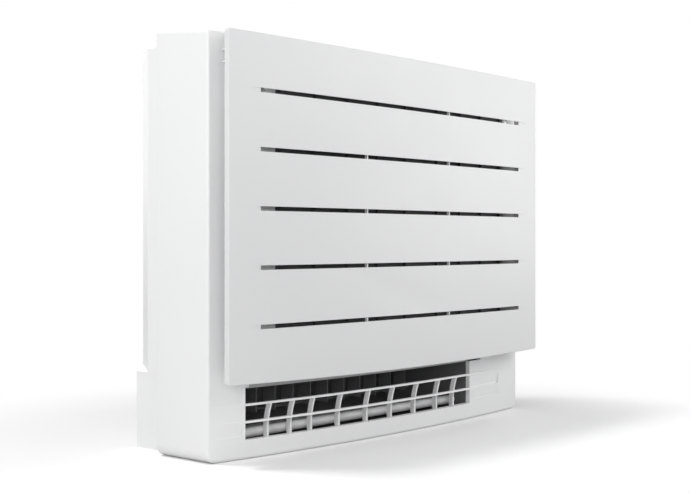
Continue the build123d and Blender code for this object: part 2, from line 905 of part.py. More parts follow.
# ---------------------------------------------------------------- panel frame with hinge arms
frame_offset = panel_skin + fit_gap
rib_setback = 0.4
rib_depth = panel_thickness - frame_offset - rib_setback
frame_bottom = panel_bottom + panel_skin + fit_gap
frame_top = panel_top - panel_skin - fit_gap
arm_radius = panel_pin_radius + arm_wall
with BuildPart() as panel_frame:
    # a side strip at each end, and a narrow web between; the left web stops below the top slot
    half_web = web_thickness / 2
    strips = (
        (-hinge_x - side_strip[1], -hinge_x + side_strip[0], frame_top),
        (hinge_x - side_strip[0], hinge_x + side_strip[1], frame_top),
        (web_places[0] - half_web, web_places[0] + half_web, slot_z[0] - slot_pitch / 2),
        (web_places[1] - half_web, web_places[1] + half_web, frame_top),
    )
    for x0, x1, top in strips:
        add(panel_slab(x0, x1, frame_bottom, top, frame_offset, rib_depth))
    # a deeper rib beyond the ends of the slots
    for side in (-1, 1):
        screen_x = side * (hinge_x - side_strip[0])
        x0, x1 = sorted((screen_x, screen_x - side * screen_thickness))
        add(panel_slab(x0, x1, frame_bottom, frame_top, frame_offset, screen_depth))
    # level ribs half way between the slots, and one above and below them all
    for z in [slot_z[0] + slot_pitch / 2] + [z - slot_pitch / 2 for z in slot_z]:
        z0, z1 = z - level_rib / 2, z + level_rib / 2
        add(panel_slab(-hinge_x, hinge_x, z0, z1, frame_offset, rib_depth))
    # hinge arms and pins
    for side in (-1, 1):
        x0, x1 = sorted((side * (hinge_x - fit_gap), side * (hinge_x - side_strip[0])))
        y = panel_y(hinge_x) + frame_offset + 1.0
        with BuildSketch(Plane.YZ.offset(x0)):
            with BuildLine():
                Polyline(
                    (y, panel_pivot_z - panel_pin_radius),
                    (panel_pivot_y, panel_pivot_z - arm_radius),
                    (panel_pivot_y, panel_pivot_z + arm_radius),
                    (y, panel_pivot_z + 2 * arm_radius),
                    close=True,
                )
            make_face()
            with Locations((panel_pivot_y, panel_pivot_z)):
                Circle(arm_radius)
        extrude(amount=x1 - x0)
        pin_x = side * (hinge_x - side_strip[0] / 2)
        pin_length = side_strip[0] / 2 + lug_thickness + pin_end
        add(rod(pin_x, panel_pivot_y, panel_pivot_z, panel_pin_radius, pin_length, (side, 0, 0)))
save(panel_frame.part, "panel_frame")

# ---------------------------------------------------------------- panel stoppers
for side, name in ((-1, "panel_stopper_left"), (1, "panel_stopper_right")):
    x = side * (hinge_x + stopper_shift)
    y = casing_y(hinge_x - guide_half + guide_shift) - fit_gap
    y0 = y - stopper_depth
    with BuildPart() as stopper:
        x0, x1 = x - stopper_width / 2, x + stopper_width / 2
        z0, z1 = stopper_z - stopper_height / 2, stopper_z + stopper_height / 2
        add(block(x0, x1, y0, y - fit_gap, z0, z1))
        # finger ridges
        for i in range(ridge_count):
            x0 = x - ridge_pitch * (ridge_count - 0.5) / 2 + ridge_pitch * i
            z0, z1 = stopper_z - ridge_height / 2, stopper_z + ridge_height / 2
            add(block(x0, x0 + ridge_pitch / 2, y0 - ridge_rise, y0 + 0.5, z0, z1))
    save(stopper.part, name)

# ---------------------------------------------------------------- air filters
for side, name in ((-1, "left"), (1, "right")):
    near = window_middle + side * fit_gap / 2
    edge = (window_left if side < 0 else window_right) + side * (filter_border - fit_gap)
    x0, x1 = sorted((near, edge))
    z0 = window_bottom - filter_border + fit_gap
    z1 = window_top + filter_border - fit_gap
    thick = filter_seat - fit_gap
    cell_x = (x1 - x0 - 2 * filter_border) / filter_columns
    cell_z = (z1 - z0 - 2 * filter_border) / filter_rows
    with BuildPart() as filter_frame:
        add(bowed_slab(x0, x1, z0, z1, 0.0, thick))
        for i in range(filter_columns):
            for j in range(filter_rows):
                add(
                    block(
                        x0 + filter_border + i * cell_x + filter_rib / 2,
                        x0 + filter_border + (i + 1) * cell_x - filter_rib / 2,
                        -far,
                        0.0,
                        z0 + filter_border + j * cell_z + filter_rib / 2,
                        z0 + filter_border + (j + 1) * cell_z - filter_rib / 2,
                    ),
                    mode=Mode.SUBTRACT,
                )
        cut = net_inset
        net_depth = thick - net_thickness
        recess = bowed_slab(x0 + cut, x1 - cut, z0 + cut, z1 - cut, net_depth - 0.1, filter_seat)
        add(recess, mode=Mode.SUBTRACT)
    save(filter_frame.part, f"filter_frame_{name}")
    with BuildPart() as filter_net:
        cut = net_inset + fit_gap / 2
        add(bowed_slab(x0 + cut, x1 - cut, z0 + cut, z1 - cut, net_depth, net_thickness))
    save(filter_net.part, f"filter_net_{name}")

# deodorising cartridges, held behind the filter window by the coil's face
cartridge_y = coil_front_y - fit_gap - cartridge[2]
cartridge_z = window_top - cartridge_low - cartridge[1] / 2
for side, name in ((-1, "left"), (1, "right")):
    x = window_middle + side * (window_right - window_left) / 4
    with BuildPart() as deodoriser:
        with BuildSketch(Plane.XZ.offset(-cartridge_y)):
            with Locations((x, cartridge_z)):
                Rectangle(cartridge[0], cartridge[1])
                with GridLocations(cell_pitch, cell_pitch, *cell_count):
                    Rectangle(cell_width, cell_width, mode=Mode.SUBTRACT)
        extrude(amount=-cartridge[2])
    save(deodoriser.part, f"deodoriser_{name}")

# ---------------------------------------------------------------- outlet grille
rail_top = outlet_bottom - rail_drop


def fin_outline(x):
    """Side view of one upright fin: it comes forward as it rises to the upper bar."""
    front = casing_y(x) + fin_front
    low, middle, high = rail_top - fin_rail, step_lines[1], step_lines[0] - bar_lip / 2
    bend = front + fin_fall * fin_bend
    with BuildSketch(Plane.YZ.offset(x - fin_thickness / 2)) as outline:
        with BuildLine():
            edge = ThreePointArc((front + fin_fall, low), (bend, middle), (front, high))
            back = ThreePointArc(
                (front + fin_depth, high),
                (bend + fin_depth, middle),
                (front + fin_depth + fin_fall, low),
            )
            Line(edge @ 1, back @ 0)
            Line(back @ 1, edge @ 0)
        make_face()
    return outline.sketch


with BuildPart() as outlet_grille:
    x0, x1 = outlet_left + fit_gap, outlet_right - fit_gap
    # two level bars, each a thin lip with a slat behind it
    for line in step_lines[:2]:
        add(bowed_slab(x0, x1, line - bar_lip, line, 0.0, bar_lip_depth))
        z0, z1 = line - bar_lip + bar_taper, line - bar_taper
        add(bowed_slab(x0, x1, z0, z1, bar_lip_depth, bar_depth - bar_lip_depth))
    # rail out of sight behind the sill, which ties the fins' feet
    add(bowed_slab(x0, x1, rail_top - fin_rail, rail_top, fin_front + fin_fall + rail_setback, fin_rail))
    for share in fin_shares:
        fin_x = outlet_left + share * (outlet_right - outlet_left)
        extrude(fin_outline(fin_x), amount=fin_thickness)
save(outlet_grille.part, "outlet_grille")

# ---------------------------------------------------------------- lower duct
duct_back_y = housing_back_y - rear_wall
duct_ceiling = outlet_top - duct_drop
duct_mouth = band_slab + fit_gap


def duct_profile(inset):
    """Side view of the lower duct: level floor, a curve up at the back, and a ceiling to the gate."""
    front = panel_front_y - inset
    back = duct_back_y - inset
    floor = duct_floor - duct_wall + inset
    sweep = duct_sweep - inset
    ceiling = duct_ceiling + duct_wall - inset
    high = duct_top_z + inset
    gate = duct_gate_y + inset
    bend = sweep * (1 - sin(radians(45)))
    with BuildSketch(Plane.YZ.offset(outlet_left - duct_wall + inset)) as outline:
        with BuildLine():
            Line((front, floor), (back - sweep, floor))
            ThreePointArc((back - sweep, floor), (back - bend, floor + bend), (back, floor + sweep))
            Polyline(
                (back, floor + sweep),
                (back, high),
                (gate, high),
                (gate, ceiling),
                (front, ceiling),
                (front, floor),
            )
        make_face()
    return outline.sketch


with BuildPart() as lower_duct:
    extrude(duct_profile(0.0), amount=outlet_right - outlet_left + 2 * duct_wall)
    # flange that stands up behind the band, above the mouth
    lip_top = lintel_top - fit_gap
    add(bowed_slab(outlet_left, outlet_right, duct_ceiling, lip_top, duct_mouth, duct_lip))
    extrude(duct_profile(duct_wall), amount=outlet_right - outlet_left, mode=Mode.SUBTRACT)
    # the mouth follows the bow of the casing
    x0, x1 = outlet_left - 2 * duct_wall, outlet_right + 2 * duct_wall
    reach = 3 * casing_bow
    add(bowed_slab(x0, x1, 0.0, lintel_top, duct_mouth - reach, reach), mode=Mode.SUBTRACT)
    for x in (outlet_left - duct_wall - 1, outlet_right - 1):
        hole = rod(x, damper_y, damper_z, damper_pin + shaft_gap, duct_wall + 2, (1, 0, 0))
        add(hole, mode=Mode.SUBTRACT)
save(lower_duct.part, "lower_duct")

# ---------------------------------------------------------------- lower damper
damper_left = outlet_left + damper_gap
damper_right = outlet_right - damper_gap
damper_tip = damper_y + damper_length
tip_z = damper_z - damper_bead + damper_lift
with BuildPart() as lower_damper:
    with BuildSketch(Plane.YZ.offset(damper_left)):
        with BuildLine():
            Polyline(
                (damper_y, damper_z + damper_bead),
                (damper_tip, tip_z + damper_thickness),
                (damper_tip, tip_z),
                (damper_y, damper_z - damper_bead),
                close=True,
            )
        make_face()
        with Locations((damper_y, damper_z)):
            Circle(damper_bead)
    extrude(amount=damper_right - damper_left)
    # the blade is hollowed from below between its end ribs
    with BuildSketch(Plane.YZ.offset(damper_left + damper_end)):
        with BuildLine():
            hollow_start = damper_y + 1.5 * damper_bead
            hollow_end = damper_tip - damper_rim
            Polyline(
                (hollow_start, damper_z - damper_bead - 1.0),
                (hollow_start, damper_z + damper_bead - damper_skin),
                (hollow_end, tip_z + damper_thickness - damper_roof),
                (hollow_end, damper_z - damper_bead - 1.0),
                close=True,
            )
        make_face()
    extrude(amount=damper_right - damper_left - 2 * damper_end, mode=Mode.SUBTRACT)
    pin_start = damper_left + 1
    pin_length = pin_start - outlet_left + duct_wall
    add(rod(pin_start, damper_y, damper_z, damper_pin, pin_length, (-1, 0, 0)))
    drive_length = outlet_right + duct_wall + motor_grip - damper_right
    add(rod(damper_right - 1, damper_y, damper_z, damper_pin, drive_length, (1, 0, 0)))
save(lower_damper.part, "lower_damper")

# ---------------------------------------------------------------- dark inner vanes
vane_count = int((outlet_right - outlet_left - vane_pitch) // vane_pitch) + 1
with BuildPart() as inner_vane_row:
    first = (outlet_left + outlet_right) / 2 - (vane_count - 1) * vane_pitch / 2
    vane_end_y = vane_start_y + vane_length
    vane_low = outlet_bottom + vane_rise
    vane_high = duct_ceiling - vane_drop
    for i in range(vane_count):
        x0 = first + i * vane_pitch - vane_thickness / 2
        add(block(x0, x0 + vane_thickness, vane_start_y, vane_end_y, vane_low, vane_high))
    # rails that tie the vanes at their rear edges
    x0, x1 = outlet_left + fit_gap, outlet_right - fit_gap
    for z in (vane_low, vane_high - vane_rail):
        add(block(x0, x1, vane_end_y - vane_rail, vane_end_y, z, z + vane_rail))
save(inner_vane_row.part, "inner_vane_row")

# ---------------------------------------------------------------- fan housing and bell mouth
housing_front_y = duct_gate_y + 2.0
lower_left = outlet_left - duct_wall / 2
lower_right = outlet_right + duct_wall / 2
with BuildPart() as fan_housing:
    with BuildSketch(Plane.XZ.offset(-housing_back_y)):
        with BuildLine():
            Polyline(
                (lower_left - 8.0, housing_bottom),
                (lower_right + 8.0, housing_bottom),
                (upper_half + 8.0, housing_top),
                (-upper_half - 8.0, housing_top),
                close=True,
            )
        make_face()
    extrude(amount=rear_wall)
    for side, low_x in ((-1, lower_left), (1, lower_right)):
        with BuildSketch(Plane.XZ.offset(-housing_back_y + rear_wall / 2)):
            with BuildLine():
                for out in (0.0, duct_wall):
                    ThreePointArc(
                        (low_x + side * out, housing_bottom),
                        (fan_x + side * (housing_waist + out), fan_z),
                        (side * (upper_half + out), housing_top),
                    )
                Line((low_x, housing_bottom), (low_x + side * duct_wall, housing_bottom))
                Line((side * upper_half, housing_top), (side * (upper_half + duct_wall), housing_top))
            make_face()
        extrude(amount=housing_back_y - rear_wall / 2 - housing_front_y)
save(fan_housing.part, "fan_housing")

bell_y = housing_front_y - fit_gap - duct_wall
throat = fan_eye - bell_gap
bend = bell_height - duct_wall
bell_edge = fan_eye + bell_flare
with BuildPart() as bell_mouth:
    bell_right = half_width - bell_margin
    add(block(box_left, bell_right, bell_y, bell_y + duct_wall, housing_bottom, housing_top))
    add(rod(fan_x, -far, fan_z, bell_edge - 0.5, 2 * far, (0, 1, 0)), mode=Mode.SUBTRACT)
    with BuildSketch(fan_plane()):
        with BuildLine():
            corner = 1 - cos(radians(45))
            inner = bend - duct_wall
            lip_y = bell_y + bend + bell_lip
            Line((bell_edge, bell_y), (throat + bend, bell_y))
            ThreePointArc(
                (throat + bend, bell_y),
                (throat + bend * corner, bell_y + bend * corner),
                (throat, bell_y + bend),
            )
            Polyline(
                (throat, bell_y + bend),
                (throat, lip_y),
                (throat + duct_wall, lip_y),
                (throat + duct_wall, bell_y + bend),
            )
            ThreePointArc(
                (throat + duct_wall, bell_y + bend),
                (throat + duct_wall + inner * corner, bell_y + duct_wall + inner * corner),
                (throat + bend, bell_y + duct_wall),
            )
            Polyline(
                (throat + bend, bell_y + duct_wall),
                (bell_edge, bell_y + duct_wall),
                (bell_edge, bell_y),
            )
        make_face()
    revolve(axis=fan_axis)
save(bell_mouth.part, "bell_mouth")

# ---------------------------------------------------------------- turbo fan
def backward_blade(angle):
    """Plan outline of one backward-swept blade, as a thin crescent between two radii."""
    a = radians(angle)
    b = radians(angle + blade_sweep)
    m = radians(angle + blade_sweep * blade_bend)
    mean = (blade_inner + fan_radius) / 2 + blade_crown
    outer = fan_radius - 1.0
    start = (blade_inner * cos(a), blade_inner * sin(a))
    end = (outer * cos(b), outer * sin(b))
    back = mean + blade_thickness
    root = Plane(origin=(fan_x, fan_back_y - fan_plate / 2, fan_z), x_dir=(1, 0, 0), z_dir=(0, -1, 0))
    with BuildSketch(root) as outline:
        with BuildLine():
            ThreePointArc(start, (mean * cos(m), mean * sin(m)), end)
            ThreePointArc(end, (back * cos(m), back * sin(m)), start)
        make_face()
    return outline.sketch


dish_inner = motor_radius + dish_margin
dish_outer = dish_inner + dish_slope
shroud_rise = fan_front_y + shroud_depth
with BuildPart() as turbo_fan:
    # back plate, dished forward round the motor to the hub
    with BuildSketch(fan_plane()):
        with BuildLine():
            Polyline(
                (shaft_radius, hub_front_y),
                (hub_radius, hub_front_y),
                (hub_radius, hub_front_y + 4.0),
                (dish_inner, hub_front_y + 10.0),
                (dish_outer, fan_back_y - fan_plate),
                (fan_radius, fan_back_y - fan_plate),
                (fan_radius, fan_back_y),
                (dish_outer - 1.5, fan_back_y),
                (dish_inner - 1.5, hub_front_y + 10.0 + fan_plate),
                (hub_radius, hub_front_y + 6.5),
                (hub_radius, hub_front_y + hub_length),
                (shaft_radius, hub_front_y + hub_length),
                close=True,
            )
        make_face()
    revolve(axis=fan_axis)
    # backward-swept blades, trimmed where the shroud lies
    for i in range(blade_count):
        blade_width = fan_width - fan_plate / 2 - shroud_step - 1.0
        extrude(backward_blade(i * 360.0 / blade_count), amount=blade_width)
    with BuildSketch(fan_plane()):
        with BuildLine():
            Polyline(
                (fan_eye + 3.0, fan_front_y + shroud_step + 1.0),
                (fan_radius + 1.0, shroud_rise + 1.2),
                (fan_radius + 1.0, fan_front_y - 1.0),
                (fan_eye + 3.0, fan_front_y - 1.0),
                close=True,
            )
        make_face()
    revolve(axis=fan_axis, mode=Mode.SUBTRACT)
    # front shroud, flared round the bell mouth
    with BuildSketch(fan_plane()):
        with BuildLine():
            Polyline(
                (fan_eye, fan_front_y),
                (fan_eye + fan_plate, fan_front_y),
                (fan_eye + 2 * fan_plate, fan_front_y + shroud_step),
                (fan_radius, shroud_rise),
                (fan_radius, shroud_rise + fan_plate),
                (fan_eye + fan_plate, fan_front_y + shroud_step + fan_plate),
                close=True,
            )
        make_face()
    revolve(axis=fan_axis)
save(turbo_fan.part, "turbo_fan")

motor_back_y = housing_back_y - rear_wall - bush_height
motor_front_y = motor_back_y - motor_length
shaft_front_y = hub_front_y - shaft_thread
with BuildPart() as motor_shaft:
    shaft_length = motor_back_y - shaft_cover - shaft_front_y
    add(rod(fan_x, shaft_front_y, fan_z, shaft_radius, shaft_length, (0, 1, 0)))
save(motor_shaft.part, "motor_shaft")

with BuildPart() as fan_nut:
    with BuildSketch(Plane.XZ.offset(-hub_front_y)):
        with Locations((fan_x, fan_z)):
            RegularPolygon(2 * shaft_radius, 6)
            Circle(shaft_radius, mode=Mode.SUBTRACT)
    extrude(amount=nut_height)
save(fan_nut.part, "fan_nut")

with BuildPart() as fan_motor:
    with BuildSketch(fan_plane()):
        with BuildLine():
            Polyline(
                (shaft_radius + shaft_gap, motor_front_y - motor_nose),
                (nose_radius, motor_front_y - motor_nose),
                (nose_radius, motor_front_y),
                (motor_radius - motor_bevel, motor_front_y),
                (motor_radius, motor_front_y + motor_bevel),
                (motor_radius, motor_back_y - motor_bevel),
                (motor_radius - motor_bevel, motor_back_y),
                (shaft_radius + shaft_gap, motor_back_y),
                close=True,
            )
        make_face()
    revolve(axis=fan_axis)
    with BuildSketch(Plane.XZ.offset(-motor_back_y)):
        with Locations((fan_x, fan_z)):
            with PolarLocations(motor_ear, 3, start_angle=90):
                Circle(ear_radius)
            with PolarLocations(motor_ear - ear_length / 2 - 1.0, 3, start_angle=90):
                Rectangle(ear_length, 2 * ear_radius)
            with PolarLocations(motor_ear, 3, start_angle=90):
                Circle(ear_hole, mode=Mode.SUBTRACT)
    extrude(amount=bush_height)
    add(rod(fan_x, -far, fan_z, shaft_radius + shaft_gap, 2 * far, (0, 1, 0)), mode=Mode.SUBTRACT)
save(fan_motor.part, "fan_motor")

with BuildPart() as motor_bushes:
    with BuildSketch(Plane.XZ.offset(-(motor_back_y + fit_gap / 2))):
        with Locations((fan_x, fan_z)):
            with PolarLocations(motor_ear, 3, start_angle=90):
                Circle(ear_radius - 1.0)
            with PolarLocations(motor_ear, 3, start_angle=90):
                Circle(ear_hole, mode=Mode.SUBTRACT)
    extrude(amount=-(bush_height - fit_gap))
save(motor_bushes.part, "motor_bushes")

with BuildPart() as motor_screws:
    for angle in (90, 210, 330):
        x = fan_x + motor_ear * cos(radians(angle))
        z = fan_z + motor_ear * sin(radians(angle))
        y = motor_back_y - bush_height - 0.1
        add(rod(x, y, z, ear_hole + 1.9, motor_screw_head, (0, -1, 0)))
        add(rod(x, y - 0.1, z, ear_hole - fit_gap, 2 * bush_height + 0.1, (0, 1, 0)))
save(motor_screws.part, "motor_screws")

# ---------------------------------------------------------------- upper duct
duct_lip_z = rear_height + duct_lip_rise
duct_kink_z = duct_lip_z - duct_lip_height
duct_low_z = housing_top + fit_gap
back_low = housing_back_y - rear_wall
back_bend = (back_low - back_swell, housing_top + back_bend_rise)
roof_z = rear_height - rear_wall - roof_gap
roof_y = back_low - roof_setback
with BuildPart() as upper_duct:
    front_wall = (
        (housing_front_y, duct_low_z),
        (housing_front_y + duct_wall, duct_low_z),
        (upper_front_y + duct_wall, duct_kink_z + 1.0),
        (upper_front_y + duct_wall, duct_lip_z),
        (upper_front_y, duct_lip_z),
        (upper_front_y, duct_kink_z),
    )
    add(side_profile(front_wall, -upper_half - duct_wall, upper_half + duct_wall))
    # back wall: swells forward, runs under the rear casing's top and turns up at the outlet
    with BuildSketch(Plane.YZ.offset(-upper_half - duct_wall)):
        with BuildLine():
            lip_top = duct_lip_z + back_lip_rise
            outer = ThreePointArc((back_low, duct_low_z), back_bend, (roof_y, roof_z))
            Polyline(
                outer @ 1,
                (upper_back_y + duct_wall, roof_z + 2.0),
                (upper_back_y + duct_wall, lip_top),
                (upper_back_y, lip_top),
                (upper_back_y, roof_z - 1.0),
                (roof_y - 0.5, roof_z - duct_wall),
            )
            ThreePointArc(
                (roof_y - 0.5, roof_z - duct_wall),
                (back_bend[0] - back_skin, back_bend[1] - back_skin),
                (back_low - duct_wall, duct_low_z),
            )
            Line((back_low - duct_wall, duct_low_z), (back_low, duct_low_z))
        make_face()
    extrude(amount=2 * (upper_half + duct_wall))
    end_wall = (
        (housing_front_y + 1.0, duct_low_z),
        (upper_front_y + 1.0, duct_kink_z),
        (upper_front_y + 1.0, duct_lip_z - 3.0),
        (upper_back_y + 1.0, duct_lip_z - 3.0),
        (upper_back_y + 1.0, roof_z),
        (roof_y, roof_z - 1.5),
        (back_bend[0] - 0.5, back_bend[1] - 0.5),
        (back_low - 1.0, duct_low_z),
    )
    for x0 in (-upper_half - duct_wall, upper_half):
        add(side_profile(end_wall, x0, x0 + duct_wall))
save(upper_duct.part, "upper_duct")

# ---------------------------------------------------------------- upper flap
flap_front_y = upper_front_y + flap_gap
flap_half = upper_half - flap_gap
flap_root_y = flap_pivot_y - flap_barrel - 2.0
with BuildPart() as upper_flap:
    with BuildSketch(Plane.YZ.offset(-flap_half)):
        with BuildLine():
            Polyline(
                (flap_pivot_y, top_z(flap_pivot_y)),
                (flap_front_y, top_z(flap_front_y)),
                (flap_front_y, top_z(flap_front_y) - flap_thickness),
                (flap_root_y, top_z(flap_root_y) - flap_thickness),
                (flap_pivot_y, flap_pivot_z - flap_barrel),
                close=True,
            )
        make_face()
        with Locations((flap_pivot_y, flap_pivot_z)):
            Circle(flap_barrel)
    extrude(amount=2 * flap_half)
    pin_length = 1.0 + flap_gap + bearing_width - 1.5
    add(rod(1 - flap_half, flap_pivot_y, flap_pivot_z, flap_pin, pin_length, (-1, 0, 0)))
    drive_length = 1.0 + flap_gap + bearing_width + fit_gap + 6.2
    add(rod(flap_half - 1, flap_pivot_y, flap_pivot_z, flap_pin, drive_length, (1, 0, 0)))
save(upper_flap.part, "upper_flap")

# ---------------------------------------------------------------- louvres
ear_starts = (louvre_front_y + ear_setback, louvre_front_y + ear_setback + ear_pitch)
ear_y = [(y, y + ear_thickness) for y in ear_starts]
base_z = louvre_pivot_z - base_drop
louvre_places = [(i - (louvre_count - 1) / 2) * louvre_pitch for i in range(louvre_count)]
with BuildPart() as louvre_base:
    x = upper_half - fit_gap
    add(block(-x, x, ear_y[0][0] - 3.0, ear_y[1][1] + 3.0, base_z, base_z + base_thickness))
    places = [(x, louvre_pivot_z) for x in louvre_places]
    stems = [(x, louvre_pivot_z - base_thickness) for x in louvre_places]
    for y0, y1 in ear_y:
        with BuildSketch(Plane.XZ.offset(-y1)):
            with Locations(*places):
                Circle(eye_radius)
            with Locations(*stems):
                Rectangle(2 * eye_radius, 2 * base_thickness)
            with Locations(*places):
                Circle(louvre_pin + shaft_gap, mode=Mode.SUBTRACT)
        extrude(amount=y1 - y0)
save(louvre_base.part, "louvre_base")

for number, x in enumerate(louvre_places, start=1):
    with BuildPart() as louvre:
        with BuildSketch(Plane.YZ.offset(x - louvre_thickness / 2)):
            with BuildLine():
                Polyline(
                    (louvre_front_y, louvre_pivot_z + 8.0),
                    (ear_y[0][0] - 2.0, louvre_pivot_z + 4.0),
                    (ear_y[1][1] + 2.0, louvre_pivot_z + 4.0),
                    (louvre_back_y, louvre_pivot_z + 6.0),
                    (louvre_back_y - 10.0, louvre_pivot_z + louvre_height),
                    (louvre_front_y, louvre_pivot_z + louvre_height),
                    close=True,
                )
            make_face()
            with Locations(((ear_y[0][0] + ear_y[1][1]) / 2, louvre_pivot_z + 2.5)):
                Rectangle(ear_y[1][0] - ear_y[0][1] - 2 * fit_gap, 5.0)
        extrude(amount=louvre_thickness)
        axle_length = ear_y[1][1] - ear_y[0][0]
        add(rod(x, ear_y[0][0], louvre_pivot_z, louvre_pin, axle_length, (0, 1, 0)))
        peg_y = louvre_front_y + 0.5
        add(rod(x, peg_y, louvre_pivot_z + link_arm, louvre_pin, link_thickness + 4.5, (0, -1, 0)))
    save(louvre.part, f"louvre_{number}")

link_y = louvre_front_y - link_gap - link_thickness
with BuildPart() as louvre_link:
    x = louvre_places[-1] + 10.0
    middle_z = louvre_pivot_z + link_arm - link_slot_drop
    z0, z1 = middle_z - link_height / 2, middle_z + link_height / 2
    add(block(-x, x, link_y, link_y + link_thickness, z0, z1))
    with BuildSketch(Plane.XZ.offset(-link_y)):
        with Locations(*[(x, middle_z) for x in louvre_places]):
            SlotOverall(link_slot, 2 * louvre_pin + link_slot_gap, rotation=90)
    extrude(amount=-link_thickness, mode=Mode.SUBTRACT)
save(louvre_link.part, "louvre_link")

# ---------------------------------------------------------------- stepper motors
for name, x, y, z in (
    ("flap_motor", upper_half + bearing_width + fit_gap, flap_pivot_y, flap_pivot_z),
    ("damper_motor", outlet_right + duct_wall + fit_gap, damper_y, damper_z),
):
    pin = flap_pin if name == "flap_motor" else damper_pin
    with BuildPart() as stepper:
        with BuildSketch(Plane.YZ.offset(x)):
            with Locations((y, z - stepper_offset)):
                Circle(stepper_radius)
        extrude(amount=stepper_length)
        with BuildSketch(Plane.YZ.offset(x)):
            with Locations((y, z - stepper_offset)):
                SlotOverall(2 * (stepper_radius + stepper_ear), 2 * (stepper_ear - 0.5))
        extrude(amount=1.0)
        with BuildSketch(Plane.YZ.offset(x + stepper_ear)):
            with Locations((y, z - stepper_offset - stepper_radius)):
                Rectangle(stepper_plug[0], stepper_plug[1])
        extrude(amount=stepper_length - stepper_ear)
        add(rod(x - 1, y, z, pin + shaft_gap, motor_grip + 2.0, (1, 0, 0)), mode=Mode.SUBTRACT)
    save(stepper.part, name)

# ---------------------------------------------------------------- heat exchanger
coil_back_y = coil_front_y + coil_depth
fin_total = int((coil_right - coil_left) // fin_pitch)
tube_pitch = (coil_top - coil_bottom) / (2 * tube_rows)
tube_y = coil_front_y + coil_depth / 2
tube_z = [coil_bottom + tube_pitch * (i + 0.5) for i in range(2 * tube_rows)]
plate_left_x = coil_left - fit_gap - end_plate
plate_right_x = coil_right + fit_gap
with BuildPart() as coil_fins:
    add(block(coil_left, coil_right, coil_front_y, coil_back_y, coil_bottom, coil_top))
    grooves = (
        (coil_front_y - 1, coil_front_y + fin_groove),
        (coil_back_y - fin_groove, coil_back_y + 1),
    )
    for i in range(1, fin_total):
        x = coil_left + i * (coil_right - coil_left) / fin_total
        x0, x1 = x - fin_pitch / 4, x + fin_pitch / 4
        for y0, y1 in grooves:
            add(block(x0, x1, y0, y1, coil_bottom - 1, coil_top + 1), mode=Mode.SUBTRACT)
    for z in tube_z:
        for x, way in ((coil_left - 1, 1), (coil_right + 1, -1)):
            hole = rod(x, tube_y, z, tube_radius + shaft_gap, tube_seat + 4.0, (way, 0, 0))
            add(hole, mode=Mode.SUBTRACT)
save(coil_fins.part, "coil_fins")

with BuildPart() as coil_tubes:
    for end, step, x in ((-1, 0, coil_left), (1, 1, coil_right)):
        for i in range(step, 2 * tube_rows - 1, 2):
            z0, z1 = tube_z[i], tube_z[i + 1]
            inner = x - end * tube_seat
            outer = x + end * tube_reach
            crown = (outer + end * tube_pitch / 2, tube_y, (z0 + z1) / 2)
            with BuildSketch(Plane(origin=(inner, tube_y, z0), z_dir=(end, 0, 0))):
                Circle(tube_radius)
            with BuildLine():
                Line((inner, tube_y, z0), (outer, tube_y, z0))
                ThreePointArc((outer, tube_y, z0), crown, (outer, tube_y, z1))
                Line((outer, tube_y, z1), (inner, tube_y, z1))
            sweep()
save(coil_tubes.part, "coil_tubes")

for name, x0, flange0 in (
    ("coil_end_plate_left", plate_left_x, plate_left_x - end_flange + end_plate),
    ("coil_end_plate_right", plate_right_x, plate_right_x),
):
    flange1 = flange0 + end_flange
    with BuildPart() as end_part:
        add(block(x0, x0 + end_plate, flange_y, coil_back_y, coil_bottom, coil_top))
        add(block(flange0, flange1, flange_y, coil_front_y, coil_bottom, coil_top))
        for z in tube_z:
            hole = rod(x0 - 1, tube_y, z, tube_radius + shaft_gap, end_plate + 2, (1, 0, 0))
            add(hole, mode=Mode.SUBTRACT)
        for x in screw_x:
            for z in screw_z:
                hole = rod(x, -far, z, casing_screw_radius + shaft_gap, 2 * far, (0, 1, 0))
                add(hole, mode=Mode.SUBTRACT)
    save(end_part.part, name)

with BuildPart() as casing_screws:
    for x in screw_x:
        for z in screw_z:
            y = casing_y(x) + screw_head + fit_gap - 0.1
            add(rod(x, y, z, screw_head_radius, screw_head, (0, -1, 0)))
            add(rod(x, y - 0.5, z, casing_screw_radius, coil_front_y + 6.0 - y, (0, 1, 0)))
save(casing_screws.part, "casing_screws")

# drain pan under the coil
pan_bottom = coil_bottom - fit_gap - pan_depth
pan_left = plate_left_x - pan_margin
pan_right = plate_right_x + pan_margin
pan_front = flange_y - 2 * pan_wall
pan_back = bell_y - fit_gap
pan_rim = coil_bottom - fit_gap
with BuildPart() as drain_pan:
    add(block(pan_left, pan_right, pan_front, pan_back, pan_bottom, pan_rim))
    add(
        block(
            pan_left + pan_wall,
            pan_right - pan_wall,
            pan_front + pan_wall,
            pan_back - pan_wall,
            pan_bottom + pan_wall,
            far,
        ),
        mode=Mode.SUBTRACT,
    )
    # ribs that the coil stands on
    half = pan_wall / 2
    y0, y1 = pan_front + half, pan_back - half
    for x in (coil_left + pan_rib_inset, window_middle, coil_right - pan_rib_inset):
        add(block(x - pan_wall, x + pan_wall, y0, y1, pan_bottom + half, pan_rim))
    spout_x = pan_right - spout_inset
    spout_y = (pan_front + bell_y) / 2
    spout_z = pan_bottom + pan_wall
    add(rod(spout_x, spout_y, spout_z, spout_radius, spout_length, (0, 0, -1)))
    bore = rod(spout_x, spout_y, spout_z + 1, spout_radius - pan_wall, spout_length + 6.0, (0, 0, -1))
    add(bore, mode=Mode.SUBTRACT)
save(drain_pan.part, "drain_pan")

